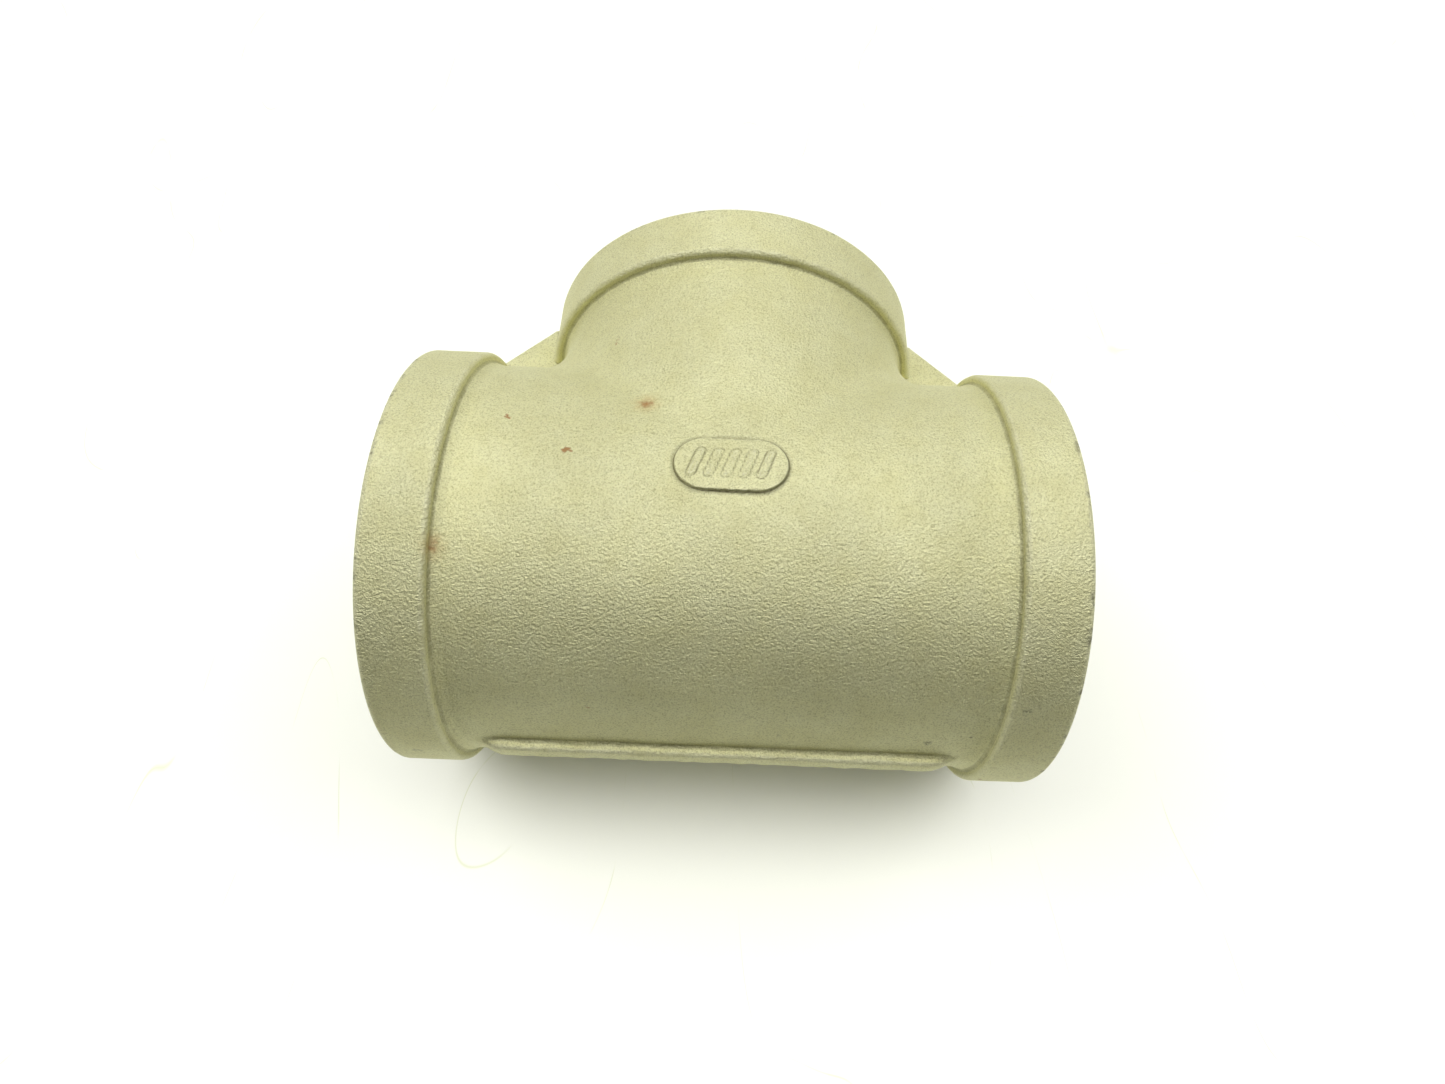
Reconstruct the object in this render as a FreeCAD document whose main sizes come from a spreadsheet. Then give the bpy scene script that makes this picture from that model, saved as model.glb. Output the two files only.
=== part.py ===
import FreeCAD, Part
import Sketcher
import os

# Threaded pipe tee, nominal 4 in: one stainless investment casting with an
# internal thread in each of its three mouths. The run lies along X, the branch
# along +Y and the tee lies flat, +Z up. The shapes are drawn about the crossing
# of the two axes; each Placement then puts the origin at the bottom centre of
# the tee's bounding box. The threads are cut in the casting's own metal, and are
# held as three rings only so that each has its own name, finish and mount.

doc = FreeCAD.newDocument("tee")

# ------------------------------------------------------------- dimensions, mm
sheet = doc.addObject("Spreadsheet::Sheet", "dims")
dims = [
    ("centre_to_end", 96.3),        # crossing of the axes to each of the faces
    ("band_radius", 66.2),          # reinforcing band round each mouth
    ("run_band_width", 18.5),
    ("branch_band_width", 19.8),
    ("barrel_radius", 62.2),        # outside of the run between its bands
    ("neck_radius", 62.0),          # outside of the branch below its band
    ("crotch_round", 12.0),         # hollow where the branch leaves the run
    ("band_root_round", 2.2),       # hollow at the foot of each band
    ("band_corner_round", 1.5),
    ("run_bore_radius", 57.5),      # waterway along the run
    ("branch_bore_radius", 57.3),   # waterway up the branch
    ("bore_crotch_round", 3.0),
    ("web_thickness", 10.0),        # flat webs in the plane of the two axes
    ("web_reach", 162.6),           # x + y all along a web's outer edge
    ("web_end_gap", 2.2),           # from the webs' ends back to the faces
    ("web_edge_round", 1.2),
    ("rib_thickness", 8.0),         # rib along the back of the run
    ("rib_reach", 66.0),
    ("rib_edge_round", 1.6),
    ("plate_length", 32.0),         # raised blank plate on top of the run
    ("plate_width", 18.0),
    ("plate_height", 1.0),
    ("thread_pitch", 2.309),        # Rp 4 pipe thread, 11 turns to the inch
    ("thread_root_radius", 56.515),
    ("thread_crest_radius", 55.036),
    ("thread_flat", 0.385),         # width of the crests and of the roots
    ("thread_length", 30.0),
    ("thread_mouth_radius", 57.0),  # where the lead-in chamfer starts
]
for row, (alias, value) in enumerate(dims, start=1):
    sheet.set("A%d" % row, alias)
    sheet.set("B%d" % row, str(value))
    sheet.setAlias("B%d" % row, alias)
doc.recompute()
size = {alias: float(sheet.get(alias)) for alias, _ in dims}
origin = FreeCAD.Vector(0, 0, 0)


# -------------------------------------------------------------------- helpers
def newBody(label):
    body = doc.addObject("PartDesign::Body", label)
    body.Label = label
    return body


def newSketch(body, name, role):
    sketch = body.newObject("Sketcher::SketchObject", name)
    plane = [f for f in body.Origin.OriginFeatures if f.Role == role][0]
    sketch.AttachmentSupport = [(plane, "")]
    sketch.MapMode = "FlatFace"
    return sketch


def bindNew(sketch, constraint, formula):
    index = sketch.addConstraint(constraint)
    sketch.setExpression("Constraints[%d]" % index, formula)


def locate(sketch, line, end, kind, value, formula):
    """Ties one end of a line to the sheet, x or y from the sketch's origin."""
    if formula == "0":
        axis = -2 if kind == "x" else -1
        sketch.addConstraint(Sketcher.Constraint("PointOnObject", line, end, axis))
        return
    ends = (-1, 1, line, end) if value > 0 else (line, end, -1, 1)
    bindNew(sketch, Sketcher.Constraint("Distance" + kind.upper(), *ends, abs(value)), formula)


def squareOutline(sketch, sides, rounds=None):
    """Closed outline of upright and level sides, each given as (kind, value,
    formula): where it stands on that axis. rounds names the corner radius, a
    cell of the sheet, for the corner that begins the side of that number."""
    rounds = rounds or {}
    count = len(sides)
    corners = []
    for i, (kind, value, _) in enumerate(sides):
        before = sides[i - 1][1]
        place = (value, before) if kind == "x" else (before, value)
        corners.append(FreeCAD.Vector(*place, 0))
    trims = [size[rounds[i]] if i in rounds else 0 for i in range(count)]
    for i, (kind, value, _) in enumerate(sides):
        after = (i + 1) % count
        along = (corners[after] - corners[i]).normalize()
        start = corners[i] + along * trims[i]
        stop = corners[after] - along * trims[after]
        sketch.addGeometry(Part.LineSegment(start, stop))
        sketch.addConstraint(Sketcher.Constraint("Vertical" if kind == "x" else "Horizontal", i))
    for i in range(count):
        before = (i - 1) % count
        if i not in rounds:
            sketch.addConstraint(Sketcher.Constraint("Coincident", before, 2, i, 1))
            continue
        first = sketch.getPoint(before, 2)
        last = sketch.getPoint(i, 1)
        inner = first + last - corners[i]
        middle = inner + (corners[i] - inner).normalize() * trims[i]
        arc = sketch.addGeometry(Part.Arc(first, middle, last))
        near = 1 if (sketch.getPoint(arc, 1) - first).Length < 1e-4 else 2
        sketch.addConstraint(Sketcher.Constraint("Tangent", before, 2, arc, near))
        sketch.addConstraint(Sketcher.Constraint("Tangent", i, 1, arc, 3 - near))
        bindNew(sketch, Sketcher.Constraint("Radius", arc, trims[i]), "dims." + rounds[i])
    for i, (kind, value, formula) in enumerate(sides):
        locate(sketch, i, 1, kind, value, formula)


def turned(body, kind, name, sketch, axis):
    feature = body.newObject("PartDesign::" + kind, name)
    feature.Profile = sketch
    feature.ReferenceAxis = (sketch, [axis])
    feature.Angle = 360
    doc.recompute()
    return feature


def padded(body, name, sketch, formula, bothWays):
    feature = body.newObject("PartDesign::Pad", name)
    feature.Profile = sketch
    feature.setExpression("Length", formula)
    feature.Midplane = bothWays
    doc.recompute()
    return feature


def rounded(body, name, base, chosen, formula):
    """Fillet on those edges of base whose box chosen(box) accepts."""
    names = ["Edge%d" % (i + 1) for i, e in enumerate(base.Shape.Edges) if chosen(e.BoundBox)]
    feature = body.newObject("PartDesign::Fillet", name)
    feature.Base = (base, names)
    feature.setExpression("Radius", formula)
    doc.recompute()
    return feature


# ---------------------------------------------------------------- the casting
end = size["centre_to_end"]
band = size["band_radius"]
casting = newBody("tee_casting")

# Run: barrel with a band at each end, turned about X.
barrel = size["barrel_radius"]
step = end - size["run_band_width"]
stepFormula = "dims.centre_to_end - dims.run_band_width"
runSketch = newSketch(casting, "RunProfile", "XY_Plane")
runSides = [
    ("y", 0, "0"),
    ("x", end, "dims.centre_to_end"),
    ("y", -band, "dims.band_radius"),
    ("x", step, stepFormula),
    ("y", -barrel, "dims.barrel_radius"),
    ("x", -step, stepFormula),
    ("y", -band, "dims.band_radius"),
    ("x", -end, "dims.centre_to_end"),
]
corner = "band_corner_round"
root = "band_root_round"
squareOutline(runSketch, runSides, {2: corner, 3: corner, 4: root, 5: root, 6: corner, 7: corner})
run = turned(casting, "Revolution", "Run", runSketch, "H_Axis")

# Branch: neck with its band, turned about Y.
neck = size["neck_radius"]
foot = end - size["branch_band_width"]
branchSketch = newSketch(casting, "BranchProfile", "YZ_Plane")
branchSides = [
    ("y", 0, "0"),
    ("x", end, "dims.centre_to_end"),
    ("y", band, "dims.band_radius"),
    ("x", foot, "dims.centre_to_end - dims.branch_band_width"),
    ("y", neck, "dims.neck_radius"),
    ("x", 0, "0"),
]
squareOutline(branchSketch, branchSides, {2: corner, 3: corner, 4: root})
branch = turned(casting, "Revolution", "Branch", branchSketch, "H_Axis")

# Webs across both crotches, one pad from band to band with sloping outer edges.
back = end - size["web_end_gap"]
tip = size["web_reach"] - back
backFormula = "dims.centre_to_end - dims.web_end_gap"
tipFormula = "dims.web_reach - dims.centre_to_end + dims.web_end_gap"
webSketch = newSketch(casting, "WebOutline", "XY_Plane")
webCorners = [(-back, 0), (back, 0), (back, tip), (tip, back), (-tip, back), (-back, tip)]
for i, (x, y) in enumerate(webCorners):
    after = webCorners[(i + 1) % 6]
    webSketch.addGeometry(Part.LineSegment(FreeCAD.Vector(x, y, 0), FreeCAD.Vector(*after, 0)))
for i in range(6):
    webSketch.addConstraint(Sketcher.Constraint("Coincident", i, 2, (i + 1) % 6, 1))
for line, kind in ((0, "Horizontal"), (1, "Vertical"), (3, "Horizontal"), (5, "Vertical")):
    webSketch.addConstraint(Sketcher.Constraint(kind, line))
locate(webSketch, 0, 1, "y", 0, "0")
locate(webSketch, 0, 1, "x", -back, backFormula)
locate(webSketch, 0, 2, "x", back, backFormula)
locate(webSketch, 2, 1, "y", tip, tipFormula)
locate(webSketch, 3, 1, "x", tip, tipFormula)
locate(webSketch, 3, 1, "y", back, backFormula)
locate(webSketch, 3, 2, "x", -tip, tipFormula)
locate(webSketch, 5, 1, "y", tip, tipFormula)
webs = padded(casting, "Webs", webSketch, "dims.web_thickness", True)

# Rib along the back of the run, its section drawn across the run.
reach = size["rib_reach"]
thick = size["rib_thickness"]
ribSketch = newSketch(casting, "RibSection", "YZ_Plane")
ribSides = [
    ("y", -thick / 2, "dims.rib_thickness / 2"),
    ("x", 0, "0"),
    ("y", thick / 2, "dims.rib_thickness / 2"),
    ("x", -reach, "dims.rib_reach"),
]
squareOutline(ribSketch, ribSides, {0: "rib_edge_round", 3: "rib_edge_round"})
ribLength = "2 * dims.centre_to_end - dims.run_band_width"
rib = padded(casting, "BackRib", ribSketch, ribLength, True)


# Hollow where the branch leaves the run, above and below the webs.
def isCrotch(box):
    return min(box.XLength, box.YLength, box.ZLength) > 20 and -1 < box.YMin < box.YMax < barrel


crotch = rounded(casting, "CrotchRound", rib, isCrotch, "dims.crotch_round")


# The webs' four sloping outer edges.
def isWebEdge(box):
    return box.ZLength < 0.01 and box.XLength > 20 and abs(box.XLength - box.YLength) < 0.01


webEdges = rounded(casting, "WebEdges", crotch, isWebEdge, "dims.web_edge_round")

# Plate on top of the run, its ends half round.
half = (size["plate_length"] - size["plate_width"]) / 2
wide = size["plate_width"] / 2
plateSketch = newSketch(casting, "PlateOutline", "XY_Plane")
plateSketch.addGeometry(Part.LineSegment(FreeCAD.Vector(-half, -wide, 0), FreeCAD.Vector(half, -wide, 0)))
plateSketch.addGeometry(Part.LineSegment(FreeCAD.Vector(half, wide, 0), FreeCAD.Vector(-half, wide, 0)))
for side in (1, -1):
    ends = (FreeCAD.Vector(side * half, -side * wide, 0), FreeCAD.Vector(side * half, side * wide, 0))
    middle = FreeCAD.Vector(side * (half + wide), 0, 0)
    plateSketch.addGeometry(Part.Arc(ends[0], middle, ends[1]))
for first, last in ((0, 2), (2, 1), (1, 3), (3, 0)):
    plateSketch.addConstraint(Sketcher.Constraint("Tangent", first, 2, last, 1))
plateSketch.addConstraint(Sketcher.Constraint("Horizontal", 0))
plateSketch.addConstraint(Sketcher.Constraint("Symmetric", 0, 1, 1, 1, -1, 1))
halfFormula = "(dims.plate_length - dims.plate_width) / 2"
locate(plateSketch, 0, 2, "x", half, halfFormula)
bindNew(plateSketch, Sketcher.Constraint("Radius", 2, wide), "dims.plate_width / 2")
plate = padded(casting, "Plate", plateSketch, "dims.barrel_radius + dims.plate_height", False)

# Waterways: plain bores along the run and up the branch, open at every mouth.
runBore = size["run_bore_radius"]
runBoreSketch = newSketch(casting, "RunBoreProfile", "XY_Plane")
runBoreSides = [
    ("y", 0, "0"),
    ("x", end + 1, "dims.centre_to_end + 1"),
    ("y", -runBore, "dims.run_bore_radius"),
    ("x", -end - 1, "dims.centre_to_end + 1"),
]
squareOutline(runBoreSketch, runBoreSides)
runWaterway = turned(casting, "Groove", "RunWaterway", runBoreSketch, "H_Axis")
branchBore = size["branch_bore_radius"]
branchBoreSketch = newSketch(casting, "BranchBoreProfile", "YZ_Plane")
branchBoreSides = [
    ("y", 0, "0"),
    ("x", end + 1, "dims.centre_to_end + 1"),
    ("y", branchBore, "dims.branch_bore_radius"),
    ("x", 0, "0"),
]
squareOutline(branchBoreSketch, branchBoreSides)
branchWaterway = turned(casting, "Groove", "BranchWaterway", branchBoreSketch, "H_Axis")
if not branchWaterway.Shape.Volume < runWaterway.Shape.Volume < plate.Shape.Volume:
    raise RuntimeError("a waterway cut nothing")


# Inside edge where the two waterways cross.
def isBoreCrotch(box):
    return min(box.XLength, box.YLength, box.ZLength) > 20 and -1 < box.YMin < box.YMax < runBore + 1


boreCrotch = rounded(casting, "BoreCrotchRound", branchWaterway, isBoreCrotch, "dims.bore_crotch_round")
casting.Tip = boreCrotch


# ---------------------------------------------------------------- the threads
def threadRing(label, boreName):
    """Ring drawn about +Z from its inner end at z = 0 to the mouth, with a
    chamfered lead-in and a helical groove that runs out at both of its ends."""
    body = newBody(label)
    length = size["thread_length"]
    pitch = size["thread_pitch"]
    crest = size["thread_crest_radius"]
    deep = size["thread_root_radius"]
    mouth = size["thread_mouth_radius"]
    bore = size[boreName]
    ring = newSketch(body, label + "_section", "XZ_Plane")
    points = [(crest, 0), (bore, 0), (bore, length), (mouth, length),
              (crest, length - mouth + crest)]
    for i, (x, y) in enumerate(points):
        after = points[(i + 1) % 5]
        ring.addGeometry(Part.LineSegment(FreeCAD.Vector(x, y, 0), FreeCAD.Vector(*after, 0)))
    for i in range(5):
        ring.addConstraint(Sketcher.Constraint("Coincident", i, 2, (i + 1) % 5, 1))
    for line, kind in ((0, "Horizontal"), (1, "Vertical"), (2, "Horizontal"), (4, "Vertical")):
        ring.addConstraint(Sketcher.Constraint(kind, line))
    locate(ring, 0, 1, "y", 0, "0")
    locate(ring, 0, 1, "x", crest, "dims.thread_crest_radius")
    locate(ring, 1, 1, "x", bore, "dims." + boreName)
    locate(ring, 2, 1, "y", length, "dims.thread_length")
    locate(ring, 3, 1, "x", mouth, "dims.thread_mouth_radius")
    chamferFormula = "dims.thread_length - dims.thread_mouth_radius + dims.thread_crest_radius"
    locate(ring, 4, 1, "y", length - mouth + crest, chamferFormula)
    solidRing = turned(body, "Revolution", label + "_ring", ring, "V_Axis")

    # Groove section one pitch below the ring, its mouth just inside the crests.
    flat = size["thread_flat"]
    inside = crest - 0.3
    slope = (pitch / 2 - flat) / (deep - crest)
    wide = (pitch - flat) / 2 + 0.3 * slope
    groove = newSketch(body, label + "_groove", "XZ_Plane")
    points = [(inside, -pitch - wide), (deep, -pitch - flat / 2),
              (deep, -pitch + flat / 2), (inside, -pitch + wide)]
    for i, (x, y) in enumerate(points):
        after = points[(i + 1) % 4]
        groove.addGeometry(Part.LineSegment(FreeCAD.Vector(x, y, 0), FreeCAD.Vector(*after, 0)))
    for i in range(4):
        groove.addConstraint(Sketcher.Constraint("Coincident", i, 2, (i + 1) % 4, 1))
    groove.addConstraint(Sketcher.Constraint("Vertical", 1))
    groove.addConstraint(Sketcher.Constraint("Vertical", 3))
    wideFormula = (
        "(dims.thread_pitch - dims.thread_flat) / 2 + 0.3 * (dims.thread_pitch / 2 - dims.thread_flat)"
        " / (dims.thread_root_radius - dims.thread_crest_radius)"
    )
    locate(groove, 0, 1, "x", inside, "dims.thread_crest_radius - 0.3")
    locate(groove, 0, 1, "y", -pitch - wide, "dims.thread_pitch + " + wideFormula)
    locate(groove, 1, 1, "x", deep, "dims.thread_root_radius")
    locate(groove, 1, 1, "y", -pitch - flat / 2, "dims.thread_pitch + dims.thread_flat / 2")
    locate(groove, 1, 2, "y", -pitch + flat / 2, "dims.thread_pitch - dims.thread_flat / 2")
    locate(groove, 3, 1, "y", -pitch + wide, "dims.thread_pitch - (" + wideFormula + ")")
    helix = body.newObject("PartDesign::SubtractiveHelix", label + "_helix")
    helix.Profile = groove
    helix.ReferenceAxis = (groove, ["V_Axis"])
    helix.Mode = 0
    helix.setExpression("Pitch", "dims.thread_pitch")
    helix.setExpression("Height", "dims.thread_length + 2 * dims.thread_pitch")
    helix.LeftHanded = False
    doc.recompute()
    if helix.Shape.Volume > 0.8 * solidRing.Shape.Volume:
        raise RuntimeError(label + ": the helix cut too little")
    return body


runLeft = threadRing("run_thread_left", "run_bore_radius")
runRight = threadRing("run_thread_right", "run_bore_radius")
branchThread = threadRing("branch_thread", "branch_bore_radius")

# Each ring is turned to face out of its own mouth, and every body is shifted
# so that the tee's box stands on z = 0 and is centred on the origin.
shiftY = "(dims.band_radius - dims.centre_to_end) / 2"
inset = "(dims.centre_to_end - dims.thread_length)"
xAxis = FreeCAD.Vector(1, 0, 0)
yAxis = FreeCAD.Vector(0, 1, 0)
placements = [
    (casting, FreeCAD.Rotation(), "0", shiftY),
    (runLeft, FreeCAD.Rotation(yAxis, -90), "-" + inset, shiftY),
    (runRight, FreeCAD.Rotation(yAxis, 90), inset, shiftY),
    (branchThread, FreeCAD.Rotation(xAxis, -90), "0", shiftY + " + " + inset),
]
for body, turn, x, y in placements:
    body.Placement = FreeCAD.Placement(origin, turn)
    body.setExpression("Placement.Base.x", x)
    body.setExpression("Placement.Base.y", y)
    body.setExpression("Placement.Base.z", "dims.band_radius")
doc.recompute()

# ------------------------------------------------------------ check and write
for item in doc.Objects:
    if "Invalid" in item.State or "Error" in item.State:
        raise RuntimeError(item.Name + " failed: " + item.getStatusString())
os.makedirs("parts", exist_ok=True)
for body, *_ in placements:
    shape = body.Shape
    if shape.isNull() or not shape.isValid() or len(shape.Solids) != 1:
        raise RuntimeError(body.Label + " is not one valid solid")
    shape.exportStep(os.path.join("parts", body.Label + ".step"))
    box = shape.BoundBox
    print("%-18s %10.1f mm3, %2d faces, x %.2f..%.2f y %.2f..%.2f z %.2f..%.2f" % (
        body.Label, shape.Volume, len(shape.Faces),
        box.XMin, box.XMax, box.YMin, box.YMax, box.ZMin, box.ZMax))
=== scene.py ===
import math
import bmesh
import bpy
import numpy as np
from mathutils import Matrix, Vector


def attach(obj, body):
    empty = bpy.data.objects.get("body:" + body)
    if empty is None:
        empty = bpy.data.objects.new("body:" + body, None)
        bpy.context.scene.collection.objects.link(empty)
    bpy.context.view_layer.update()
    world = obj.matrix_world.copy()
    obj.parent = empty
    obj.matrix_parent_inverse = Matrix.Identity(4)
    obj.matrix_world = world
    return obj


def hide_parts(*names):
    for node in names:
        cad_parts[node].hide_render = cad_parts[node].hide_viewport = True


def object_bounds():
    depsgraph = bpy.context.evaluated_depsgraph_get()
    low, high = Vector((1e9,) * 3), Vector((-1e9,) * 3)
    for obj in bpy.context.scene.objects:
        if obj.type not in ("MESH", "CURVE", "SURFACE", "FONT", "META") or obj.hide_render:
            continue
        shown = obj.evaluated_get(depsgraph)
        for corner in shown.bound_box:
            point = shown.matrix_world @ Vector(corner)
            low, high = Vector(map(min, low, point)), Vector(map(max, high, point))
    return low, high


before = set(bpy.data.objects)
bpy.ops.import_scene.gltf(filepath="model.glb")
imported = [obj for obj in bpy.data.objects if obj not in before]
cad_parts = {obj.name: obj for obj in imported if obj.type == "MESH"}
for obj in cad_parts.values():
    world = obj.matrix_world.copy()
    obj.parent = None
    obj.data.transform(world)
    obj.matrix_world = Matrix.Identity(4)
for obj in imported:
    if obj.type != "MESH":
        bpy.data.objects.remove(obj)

# Cast stainless pipe tee lying flat. Shapes are worked out in millimetres about
# the crossing of the two pipe axes: x along the run, y up the branch, z up.

cadLow, cadHigh = [np.array(corner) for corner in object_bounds()]
endAt = cadHigh[0] * 1000
bandRadius = (cadHigh[2] - cadLow[2]) * 500
crossing = np.array([0, cadLow[1] * 1000 + bandRadius, bandRadius])   # of the axes, in the CAD frame
print("loaded, centre to end %.1f mm, bands %.1f mm across" % (endAt, 2 * bandRadius))


# ---- shared helpers

def toLinear(hexColour):
    # each channel c of an sRGB hex colour: c / 12.92 below 0.04045, else ((c + 0.055) / 1.055) ** 2.4
    parts = np.array([int(hexColour[i:i + 2], 16) / 255 for i in (1, 3, 5)])
    linear = np.where(parts <= 0.04045, parts / 12.92, ((parts + 0.055) / 1.055) ** 2.4)
    return (*linear.tolist(), 1.0)


def lattice(i, j, k, seed):
    # a number from -1 to 1 for every whole-numbered point: the fraction of a large sine
    mixed = np.sin(i * 127.1 + j * 311.7 + k * 74.7 + seed * 53.3) * 43758.5453
    return 2 * (mixed - np.floor(mixed)) - 1


def lumps(points, width, seed):
    # random heights at the corners of cubes of that width, joined by 3f^2 - 2f^3 across each cube
    scaled = points / width + 19.7 * seed
    cell = np.floor(scaled)
    f = scaled - cell
    f = f * f * (3 - 2 * f)
    total = np.zeros(len(points))
    for corner in range(8):
        dx, dy, dz = corner & 1, corner >> 1 & 1, corner >> 2 & 1
        shareX, shareY, shareZ = (f[:, n] if d else 1 - f[:, n] for n, d in enumerate((dx, dy, dz)))
        weight = shareX * shareY * shareZ
        total += weight * lattice(cell[:, 0] + dx, cell[:, 1] + dy, cell[:, 2] + dz, seed)
    return total


def roundedPath(corners, radii, gap):
    # straights a + k (b - a) at most one gap apart, and at a corner of radius r the arc
    # centre + r (cos, sin) of the turn in five equal steps, its ends r tan(turn / 2) from the corner
    corners = [np.array(c, float) for c in corners]
    stops = [[c] for c in corners]
    for i in range(1, len(corners) - 1):
        if radii[i] == 0:
            continue
        back = corners[i - 1] - corners[i]
        ahead = corners[i + 1] - corners[i]
        back /= np.linalg.norm(back)
        ahead /= np.linalg.norm(ahead)
        half = math.acos(np.clip(back @ ahead, -1, 1)) / 2
        centre = corners[i] + (back + ahead) / np.linalg.norm(back + ahead) * radii[i] / math.sin(half)
        first = corners[i] + back * radii[i] / math.tan(half) - centre
        last = corners[i] + ahead * radii[i] / math.tan(half) - centre
        turn = math.pi - 2 * half
        k = np.linspace(0, 1, 6)[:, None]
        stops[i] = list(centre + (np.sin((1 - k) * turn) * first + np.sin(k * turn) * last) / math.sin(turn))
    points = [stops[0][0]]
    for i in range(1, len(corners)):
        run = stops[i][0] - points[-1]
        count = max(1, math.ceil(np.linalg.norm(run) / gap))
        points += [points[-1] + run * k / count for k in range(1, count)] + stops[i]
    return np.array(points)


def meshFrom(name, points, quads, uv, slots=None):
    # points in mm about the crossing, quads as rows of four, uv a pair for each point, slots a material
    # number for each quad
    mesh = bpy.data.meshes.new(name)
    mesh.from_pydata(((points + crossing) / 1000).tolist(), [], quads.tolist())
    layer = mesh.uv_layers.new(name="turned")
    layer.data.foreach_set("uv", uv[quads.ravel()].ravel().astype(np.float32))
    mesh.polygons.foreach_set("use_smooth", np.ones(len(quads), bool))
    if slots is not None:
        mesh.polygons.foreach_set("material_index", slots.astype(np.int32))
    # points that lie on each other are merged, the faces that this empties dropped, all faces turned outwards
    work = bmesh.new()
    work.from_mesh(mesh)
    bmesh.ops.remove_doubles(work, verts=work.verts, dist=2e-6)
    bmesh.ops.recalc_face_normals(work, faces=work.faces)
    openEdges = sum(1 for edge in work.edges if not edge.is_manifold)
    work.to_mesh(mesh)
    work.free()
    piece = bpy.data.objects.new(name, mesh)
    bpy.context.scene.collection.objects.link(piece)
    mesh.calc_loop_triangles()
    print("%s: %d triangles, %d open edges" % (name, len(mesh.loop_triangles), openEdges))
    return piece


def gridQuads(rows, columns, start=0, wrap=False):
    # quad of point (i, j) is (i, j), (i, j + 1), (i + 1, j + 1), (i + 1, j); wrap joins the last column
    # to the first
    i, j = np.meshgrid(np.arange(rows - 1), np.arange(columns if wrap else columns - 1), indexing="ij")
    after = (j + 1) % columns
    here, below = i * columns, (i + 1) * columns
    quads = np.stack([here + j, here + after, below + after, below + j], -1)
    return start + quads.reshape(-1, 4)


def roughened(piece, heights):
    # every point moves along its own normal by heights(points, normals), in mm
    mesh = piece.data
    flat = np.empty(len(mesh.vertices) * 3, np.float32)
    mesh.vertices.foreach_get("co", flat)
    normals = np.empty(len(mesh.vertices) * 3, np.float32)
    mesh.vertex_normals.foreach_get("vector", normals)
    points = flat.reshape(-1, 3) * 1000.0 - crossing
    normals = normals.reshape(-1, 3).astype(float)
    moved = points + normals * heights(points, normals)[:, None]
    mesh.vertices.foreach_set("co", ((moved + crossing) / 1000).astype(np.float32).ravel())
    mesh.update()


def markHollows(piece, extra=None):
    # attribute "hollow": the mean over a point's edges of twice the neighbour's height along the normal
    # divided by the edge's length squared, which is the surface's bend in 1/mm, above 0 in a hollow and
    # below 0 on a corner; then each point takes the mean of itself and its neighbours, and extra(points)
    # is added
    mesh = piece.data
    count = len(mesh.vertices)
    ends = np.empty(len(mesh.edges) * 2, np.int32)
    mesh.edges.foreach_get("vertices", ends)
    flat = np.empty(count * 3, np.float32)
    mesh.vertices.foreach_get("co", flat)
    normals = np.empty(count * 3, np.float32)
    mesh.vertex_normals.foreach_get("vector", normals)
    points, normals = flat.reshape(-1, 3) * 1000.0, normals.reshape(-1, 3)
    here, there = np.concatenate([ends[0::2], ends[1::2]]), np.concatenate([ends[1::2], ends[0::2]])
    gap = points[there] - points[here]
    bend = 2 * (gap * normals[here]).sum(1) / np.maximum((gap ** 2).sum(1), 0.05)
    near = np.maximum(np.bincount(here, minlength=count), 1)
    hollow = np.bincount(here, bend, count) / near
    hollow = 0.5 * hollow + 0.5 * np.bincount(here, hollow[there], count) / near
    if extra:
        hollow = hollow + extra(points - crossing)
    layer = mesh.attributes.new("hollow", "FLOAT", "POINT")
    layer.data.foreach_set("value", hollow.astype(np.float32))


# ---- the casting

tee = {
    "barrelRadius": 62.2,       # outside of run and neck
    "runBandWidth": 18.5,
    "branchBandWidth": 19.8,
    "bandCorner": 1.7,          # rounding of the bands' corners
    "bandFoot": 0.9,            # rise of the slope at their feet
    "bandSlope": 3.0,           # and its length
    "bandHollow": 1.3,          # rounding between the slope and the band's side
    "crotchRound": 15.0,        # hollow between run and branch
    "boreRadius": 57.5,
    "boreCrotchRound": 3.0,
    "webHalf": 5.0,             # half thickness of the corner webs
    "webReach": 162.6,          # x + y along a web's outer edge
    "webEndGap": 2.2,
    "webRoot": 3.2,
    "webEdge": 1.4,
    "ribHalf": 4.0,             # rib along the back
    "ribReach": 65.2,
    "ribRoot": 1.4,
    "ribEdge": 1.9,
    "ribGrainTo": 75.0,         # x at which the rib's coarser grain stops
    "ribFade": 9.0,             # length over which each end of the rib sinks into the barrel
    "gap": 2.0,                 # spacing of the points on plain areas
}

barrel, bore = tee["barrelRadius"], tee["boreRadius"]
webStart = endAt - tee["webEndGap"]


def bandProfile(width):
    # distance along the axis and radius, from the bore's edge on the face over the band to the barrel
    step = endAt - width
    marks = [(endAt, bore), (endAt, bandRadius), (webStart + 0.3, bandRadius), (webStart, bandRadius),
             (webStart - 0.6, bandRadius), (step, bandRadius), (step, barrel + tee["bandFoot"]),
             (step - tee["bandSlope"], barrel), (step - 2 * tee["bandSlope"], barrel)]
    rounds = [0, tee["bandCorner"], 0, 0, 0, tee["bandCorner"], tee["bandHollow"], 5.0, 0]
    return roundedPath(marks, rounds, tee["gap"])


runBand = bandProfile(tee["runBandWidth"])
branchBand = bandProfile(tee["branchBandWidth"])
straight = np.linspace(0, 1, 31)[1:-1]     # along barrel and neck between band and hollow
inside = np.linspace(0, 1, 17)[1:-1]       # along the bores
arcSteps = np.linspace(0, 1, 13)
innerArcSteps = np.linspace(0, 1, 6)


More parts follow.
